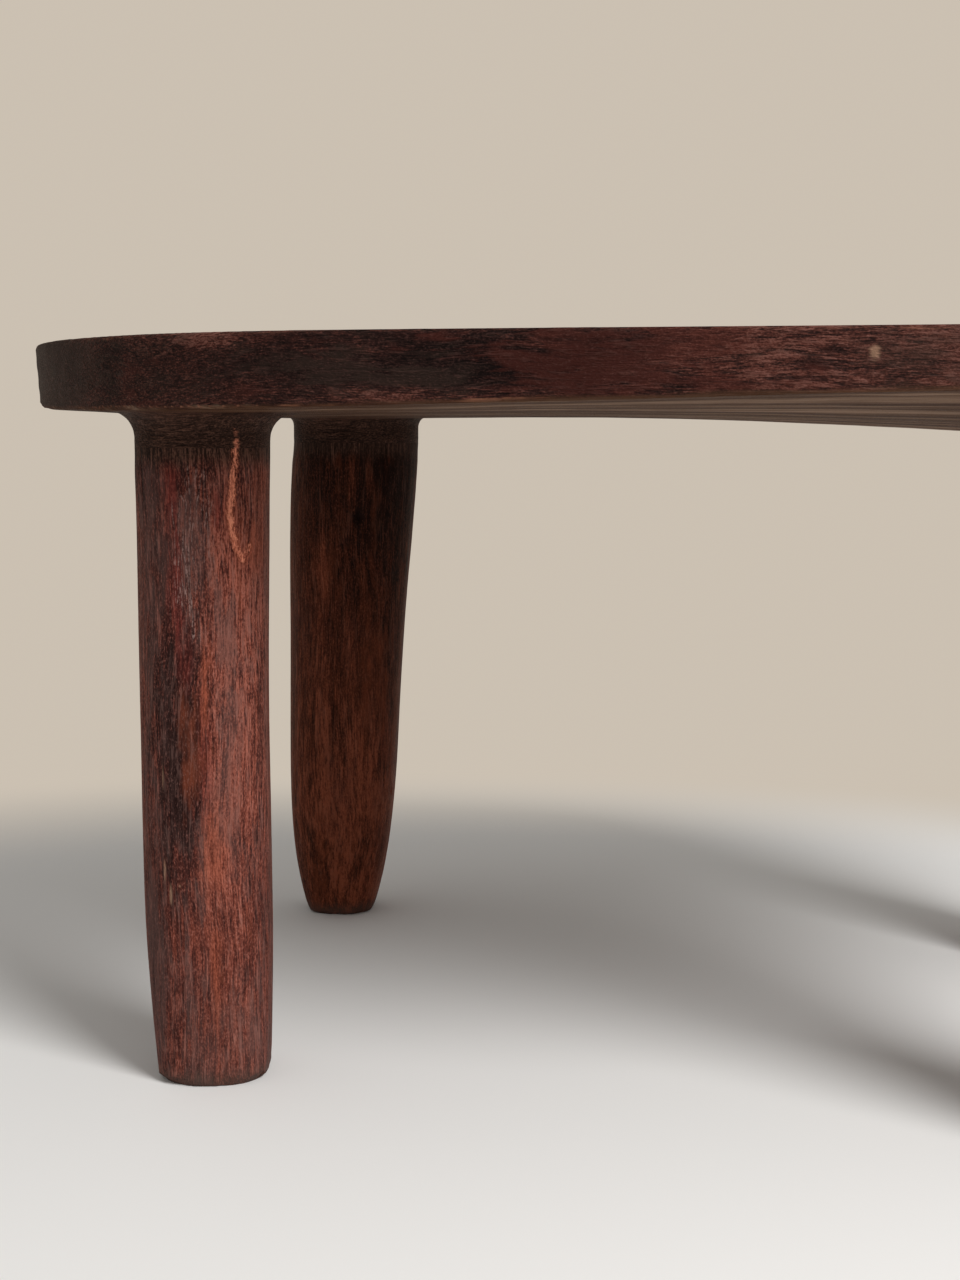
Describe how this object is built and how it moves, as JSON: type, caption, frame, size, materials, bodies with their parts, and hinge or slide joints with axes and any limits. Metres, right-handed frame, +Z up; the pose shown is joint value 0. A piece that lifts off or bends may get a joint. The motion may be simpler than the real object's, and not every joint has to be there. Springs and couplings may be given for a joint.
{
  "type": "low table",
  "caption": "Low table with a thick round-ended hewn wooden slab on separate hand-shaped legs, each held by a wedged round through-tenon.",
  "frame": {"origin": "on the floor under the centre of the slab", "axes": "+Z up, +X along the slab's length to the right, +Y to the rear"},
  "size_m": [0.7972, 0.5696, 0.42],
  "materials": {
    "slab_wood": "dark oiled and worn, satin",
    "leg_wood": "dark oiled and worn, satin",
    "wedge_wood": "dark oiled, satin"
  },
  "bodies": {
    "root": {"top_slab": "slab_wood", "leg_front_left": "leg_wood", "leg_rear_left": "leg_wood", "leg_front_right": "leg_wood", "leg_rear_right": "leg_wood", "wedge_front_left": "wedge_wood", "wedge_rear_left": "wedge_wood", "wedge_front_right": "wedge_wood", "wedge_rear_right": "wedge_wood"}
  },
  "joints": []
}
